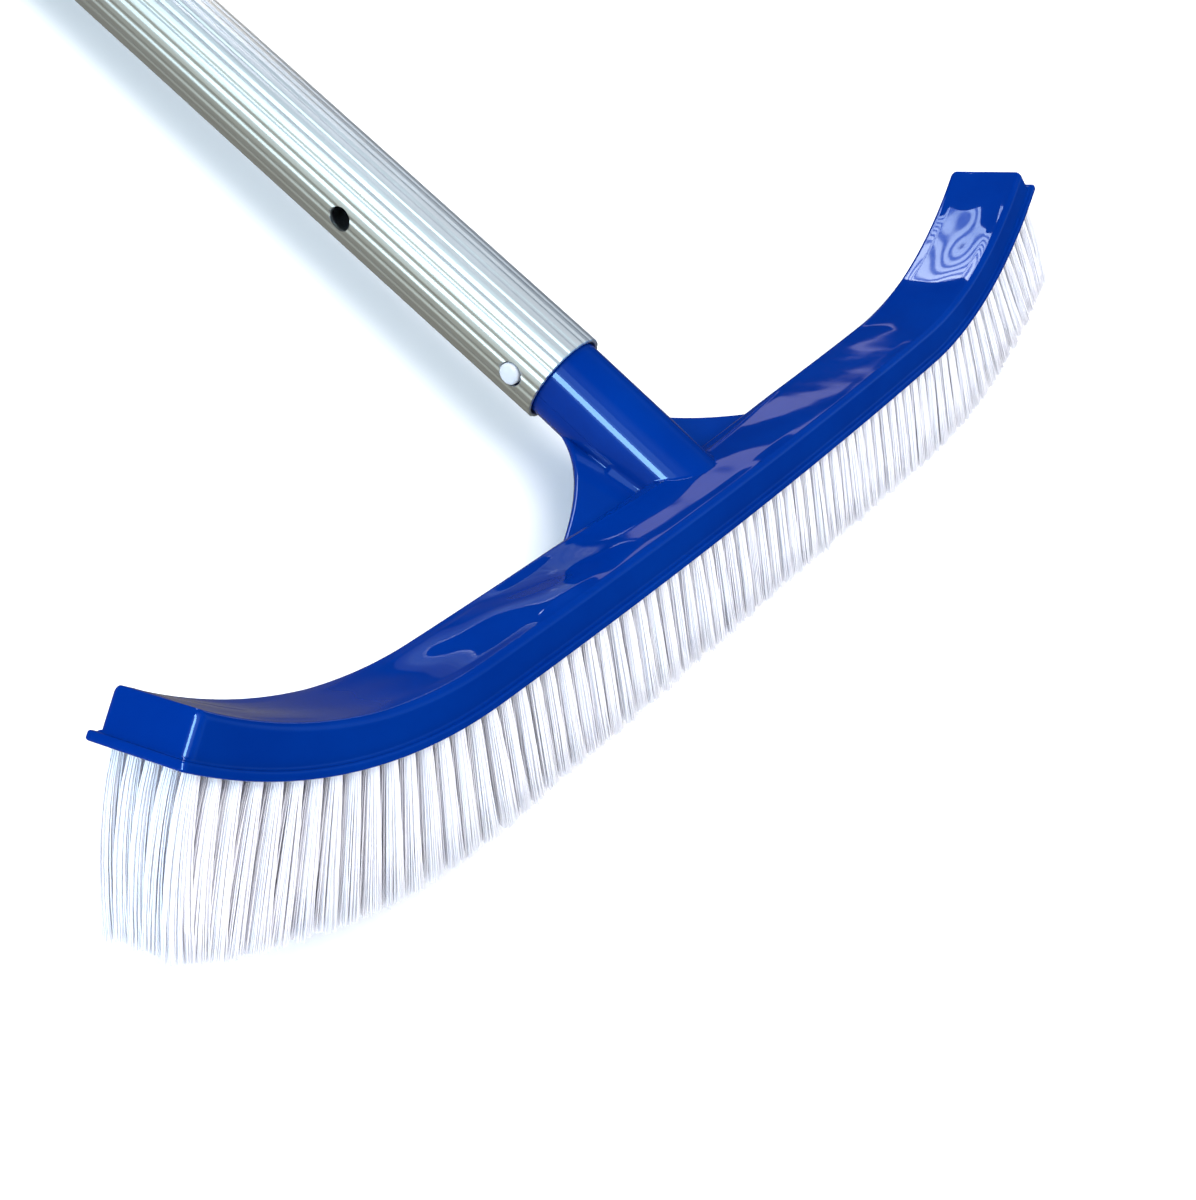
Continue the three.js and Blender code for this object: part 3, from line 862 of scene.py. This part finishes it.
def fluted_ring(height, inset=0.0):
    """The pole's outline: broad ridges between shallow grooves."""
    steps = 14
    groove_middle, groove_reach = 0.7, 0.3  # as shares of one flute
    angle = np.linspace(0, 2 * math.pi, FLUTES * steps, endpoint=False)
    share = (angle * FLUTES / (2 * math.pi)) % 1
    groove = np.clip(1 - np.abs(share - groove_middle) / groove_reach, 0, 1)
    groove = groove * groove * (3 - 2 * groove)
    radius = POLE_RADIUS - inset - FLUTE_DEPTH * groove
    return np.stack([radius * np.cos(angle), radius * np.sin(angle), height + 0 * angle], axis=1)


def pole_tube():
    """A fluted tube with two pairs of snap holes, each hole deburred."""
    count = len(fluted_ring(0))
    bore = POLE_RADIUS - POLE_WALL
    edge = 0.25
    rings = [
        circle(bore, edge, count), circle(bore + edge, 0, count), fluted_ring(0, edge),
        fluted_ring(edge), fluted_ring(POLE_LENGTH - edge), fluted_ring(POLE_LENGTH, edge),
        circle(bore + edge, POLE_LENGTH, count), circle(bore, POLE_LENGTH - edge, count),
    ]
    made = facing_out(object_of("pole_tube_extrusion", *lofted(rings, closed=True), POLE))
    flare_width, flare_depth = 0.45, 0.3
    flare = SNAP_HOLE_RADIUS + flare_width
    outside = POLE_RADIUS + 4
    skin = POLE_RADIUS - flare_depth
    profile = [
        (flare, -outside), (flare, -POLE_RADIUS), (SNAP_HOLE_RADIUS, -skin),
        (SNAP_HOLE_RADIUS, skin), (flare, POLE_RADIUS), (flare, outside),
    ]
    for height in (SNAP_HOLE_FROM_END, SNAP_HOLE_FROM_END + SNAP_HOLE_SPACING):
        drill = object_of("drill", *lathe(profile, 64), across(POLE, height))
        made = combined(made, "DIFFERENCE", facing_out(drill))
    finished(made, "pole", "pole_aluminium", ["pole_tube"])


def pole_grip():
    """A ribbed sleeve with rolled ends."""
    start = POLE_LENGTH - GRIP_LENGTH
    pitch = GRIP_LENGTH / GRIP_RIBS
    end_drop, valley_depth = 1.4, 0.8
    heights = np.linspace(start + 1, POLE_LENGTH - 1, 181)
    valleys = np.abs(np.cos((heights - start) / pitch * math.pi)) ** 6
    profile = [(GRIP_BORE, start), (GRIP_RADIUS - end_drop, start)]
    profile += [(GRIP_RADIUS - valley_depth * v, height) for v, height in zip(valleys, heights)]
    profile += [(GRIP_RADIUS - end_drop, POLE_LENGTH), (GRIP_BORE, POLE_LENGTH)]
    rings = [circle(radius, height, 96) for radius, height in profile]
    made = object_of("grip_sleeve", *lofted(rings, closed=True), POLE)
    finished(facing_out(made), "pole", "grip_vinyl", ["pole_grip"])


def pole_end_cap():
    """A hollow plug under a round head."""
    wall = 2
    edge = 2
    small_edge = 0.4
    innermost = 0.2  # a lathe's profile stops just short of its axis
    profile = [(innermost, wall), (PLUG_RADIUS - wall - 1, wall), (PLUG_RADIUS - wall, wall - 1)]
    profile += [(PLUG_RADIUS - wall, -PLUG_DEPTH), (PLUG_RADIUS - small_edge, -PLUG_DEPTH)]
    profile += [(PLUG_RADIUS, small_edge - PLUG_DEPTH), (PLUG_RADIUS, GAP)]
    profile += arc((CAP_RADIUS - small_edge, GAP + small_edge), small_edge, 270, 360, 4)
    profile += arc((CAP_RADIUS - edge, CAP_HEIGHT - edge), edge, 0, 90, 8)
    profile += [(innermost, CAP_HEIGHT)]
    raised = [(radius, POLE_LENGTH + height) for radius, height in profile]
    made = object_of("end_cap_moulding", *lathe(raised, 96), POLE)
    finished(facing_out(made), "pole", "blue_plastic", ["pole_end_cap"])


pole_tube()
pole_grip()
pole_end_cap()

# ---- Stage --------------------------------------------------------------------------------------


def rectangle(name, width, height, material):
    """A flat rectangle round the origin, level, with its width along X."""
    x, y = width / 2, height / 2
    mesh = bpy.data.meshes.new(name)
    mesh.from_pydata([(-x, -y, 0), (x, -y, 0), (x, y, 0), (-x, y, 0)], [], [(0, 1, 2, 3)])
    mesh.materials.append(material)
    made = bpy.data.objects.new(name, mesh)
    bpy.context.scene.collection.objects.link(made)
    return made


def add_floor():
    """A plain pale floor."""
    width = 12.0
    shader = Shader("floor", Roughness=0.9)
    shader.surface.inputs["Base Color"].default_value = (0.96, 0.96, 0.96, 1)
    shader.surface.inputs["Specular IOR Level"].default_value = 0
    floor = rectangle("floor", width, width, shader.material)
    floor.visible_glossy = False


def face_brush(made, azimuth, elevation, distance):
    """Turns a lamp or a panel to the brush from a distance. Azimuth 0 is +Y, and 90 is +X."""
    a, e = math.radians(azimuth), math.radians(elevation)
    outward = Vector((math.sin(a) * math.cos(e), math.cos(a) * math.cos(e), math.sin(e)))
    made.location = HEAD.translation + outward * distance
    made.rotation_euler = outward.to_track_quat("Z", "Y").to_euler()


def add_softbox(name, azimuth, elevation, distance, size, power, colour, mirrored):
    """A soft rectangular lamp, with its size in metres and its power in watts.

    A mirrored lamp only shows in the gloss, and another one only lights the surfaces.
    """
    data = bpy.data.lights.new(name, "AREA")
    data.shape = "RECTANGLE"
    data.size, data.size_y = size
    data.energy = power
    data.color = colour
    lamp = bpy.data.objects.new(name, data)
    face_brush(lamp, azimuth, elevation, distance)
    lamp.visible_diffuse = not mirrored
    lamp.visible_glossy = mirrored
    bpy.context.scene.collection.objects.link(lamp)
    return lamp


def keep_to(material, lamp):
    """Lets a lamp shine only on the pieces of one material."""
    receivers = bpy.data.collections.new(lamp.name)
    for made in list(bpy.context.scene.objects):
        if made.type == "MESH" and MATERIALS[material].name in made.data.materials:
            receivers.objects.link(made)
    lamp.light_linking.receiver_collection = receivers


def add_blind(azimuth, elevation, distance, size, slats, brightness):
    """A bright slatted window blind, which only shows in the gloss."""
    shader = Shader("blind", Roughness=1.0, Emission_Strength=brightness)
    place = shader.node("ShaderNodeTexCoord")
    split = shader.node("ShaderNodeSeparateXYZ")
    wave = shader.node("ShaderNodeMath", operation="SINE")
    turns = shader.node("ShaderNodeMath", operation="MULTIPLY")
    turns.inputs[1].default_value = 2 * math.pi * slats / size[1]
    shader.link(place.outputs["Object"], split.inputs["Vector"])
    shader.link(split.outputs["Y"], turns.inputs[0])
    shader.link(turns.outputs["Value"], wave.inputs[0])
    light = shader.spread(wave.outputs["Value"], 0, 1, -0.7, 0.2)
    colour = shader.blend(light, (0.12, 0.16, 0.35), (0.95, 0.95, 1.0))
    shader.link(colour, shader.surface.inputs["Emission Color"])
    blind = rectangle("blind", *size, shader.material)
    face_brush(blind, azimuth, elevation, distance)
    blind.visible_camera = False
    blind.visible_diffuse = False
    blind.visible_shadow = False


class Room:
    """The world: even light on the object, and a darker, varied room for its gloss to mirror."""

    def __init__(self):
        world = bpy.data.worlds.new("room")
        bpy.context.scene.world = world
        world.use_nodes = True
        self.nodes, self.links = world.node_tree.nodes, world.node_tree.links
        self.direction = self.nodes.new("ShaderNodeTexCoord").outputs["Generated"]

    def share(self, along, start, end):
        """From 0 to 1 as the direction's part along a vector goes from start to end."""
        part = self.nodes.new("ShaderNodeVectorMath")
        part.operation = "DOT_PRODUCT"
        part.inputs[1].default_value = along
        ranged = self.nodes.new("ShaderNodeMapRange")
        ranged.inputs["From Min"].default_value = start
        ranged.inputs["From Max"].default_value = end
        self.links.new(self.direction, part.inputs[0])
        self.links.new(part.outputs["Value"], ranged.inputs["Value"])
        return ranged.outputs["Result"]

    def all_of(self, *shares):
        """The product of several shares."""
        product = shares[0]
        for share in shares[1:]:
            times = self.nodes.new("ShaderNodeMath")
            times.operation = "MULTIPLY"
            self.links.new(product, times.inputs[0])
            self.links.new(share, times.inputs[1])
            product = times.outputs["Value"]
        return product

    def ramp(self, along, *stops):
        """A colour along a vector: each stop is a place along it, a brightness and a tint."""
        low, high = stops[0][0], stops[-1][0]
        ramp = self.nodes.new("ShaderNodeValToRGB")
        self.links.new(self.share(along, low, high), ramp.inputs["Fac"])
        elements = ramp.color_ramp.elements
        while len(elements) < len(stops):
            elements.new(0.5)
        for element, (place, brightness, tint) in zip(elements, stops):
            element.position = (place - low) / (high - low)
            element.color = (*[brightness * part for part in tint], 1)
        return ramp.outputs["Color"]

    def blend(self, share, first, second):
        """A colour between two, by a share."""
        mix = self.nodes.new("ShaderNodeMix")
        mix.data_type = "RGBA"
        self.links.new(share, mix.inputs["Factor"])
        self.links.new(first, mix.inputs["A"])
        self.links.new(second, mix.inputs["B"])
        return mix.outputs["Result"]

    def shine(self, even_colour, even_strength, mirrored):
        """Gives reflections the mirrored colour, and everything else the even one."""
        even = self.nodes["Background"]
        even.inputs["Color"].default_value = (*even_colour, 1)
        even.inputs["Strength"].default_value = even_strength
        room = self.nodes.new("ShaderNodeBackground")
        self.links.new(mirrored, room.inputs["Color"])
        path = self.nodes.new("ShaderNodeLightPath")
        mix = self.nodes.new("ShaderNodeMixShader")
        self.links.new(path.outputs["Is Glossy Ray"], mix.inputs["Fac"])
        self.links.new(even.outputs["Background"], mix.inputs[1])
        self.links.new(room.outputs["Background"], mix.inputs[2])
        self.links.new(mix.outputs["Shader"], self.nodes["World Output"].inputs["Surface"])


def add_room():
    """Cool and bright on the left and high over the front, dark elsewhere, with one pale band."""
    warm, cool, olive = (1, 0.93, 0.80), (0.80, 0.95, 1), (1, 1, 0.84)
    navy, sky, lavender = (0.3, 0.5, 1), (0.3, 0.6, 1), (0.86, 0.78, 1)
    x_axis, y_axis, z_axis = (1, 0, 0), (0, 1, 0), (0, 0, 1)
    room = Room()
    left = room.ramp(
        z_axis, (-1, 0.3, olive), (-0.3, 0.45, olive), (0, 0.6, olive), (0.3, 0.85, cool),
        (1, 0.95, cool),
    )
    right = room.ramp(
        z_axis, (-1, 0.22, warm), (-0.35, 0.13, warm), (-0.2, 0.05, navy), (0.25, 0.05, navy),
        (0.4, 0.25, sky), (0.6, 0.15, sky), (1, 0.12, sky),
    )
    front = room.ramp(
        z_axis, (-1, 0.2, olive), (0, 0.05, navy), (0.2, 0.1, sky), (0.35, 1.0, sky), (0.6, 0.8, sky),
        (0.8, 0.2, sky), (1, 0.12, sky),
    )
    band = room.ramp(z_axis, (-1, 1.1, lavender), (1, 1.1, lavender))
    # The band has four straight edges, and each share is one of them.
    in_band = room.all_of(
        room.share((-0.656, 0, 1), -0.5427, -0.5387),
        room.share((-0.979, 0, 1), -0.7872, -0.7832),
        room.share(z_axis, 0.016, 0.008),
        room.share(x_axis, 0.693, 0.705),
    )
    right = room.blend(in_band, right, band)
    beyond = room.blend(room.share((-1, -0.6, 0.3), 0.15, 0.45), right, left)
    mirrored = room.blend(room.share(y_axis, -0.3, -0.05), front, beyond)
    room.shine((0.96, 0.96, 1.0), 1.0, mirrored)


add_floor()
add_room()
CYAN_WHITE, PALE_BLUE = (0.80, 0.97, 1.0), (0.50, 0.78, 1.0)
NEUTRAL, WARM_WHITE = (1.0, 0.99, 0.98), (1.0, 0.74, 0.44)
WINDOW = (-74, 31)  # azimuth and elevation

# Lamps in one direction have different distances, because lamps in one place hide each other.
add_softbox("daylight", *WINDOW, 1.7, (1.3, 0.34), 20, PALE_BLUE, mirrored=False)
add_softbox("fill", 150, 82, 2.0, (1.6, 1.6), 34, NEUTRAL, mirrored=False)
add_softbox("window_sheen", *WINDOW, 1.6, (1.3, 0.6), 7, CYAN_WHITE, mirrored=True)
add_softbox("window_glow", -78, 48, 1.65, (1.3, 0.5), 4, CYAN_WHITE, mirrored=True)
tuft_light = add_softbox("tuft_light", 176, 22, 2.0, (1.8, 1.2), 5.2, NEUTRAL, mirrored=False)
window = add_softbox("window", *WINDOW, 1.5, (1.2, 0.32), 42, CYAN_WHITE, mirrored=True)
keep_to("bristle_nylon", tuft_light)
keep_to("blue_plastic", window)
POLE_LAMPS = [
    add_softbox("pole_glow", 62, 50, 1.5, (1.4, 1.0), 2.8, NEUTRAL, mirrored=True),
    add_softbox("pole_bounce", 30, 6, 1.55, (1.0, 0.4), 4, WARM_WHITE, mirrored=True),
    add_softbox("pole_ceiling", 0, 85, 1.9, (2.4, 2.4), 3.6, NEUTRAL, mirrored=True),
]
for pole_lamp in POLE_LAMPS:
    keep_to("pole_aluminium", pole_lamp)
add_blind(24, 18, 1.8, (0.75, 0.56), 9, 14)
bpy.context.scene.view_settings.view_transform = "Standard"
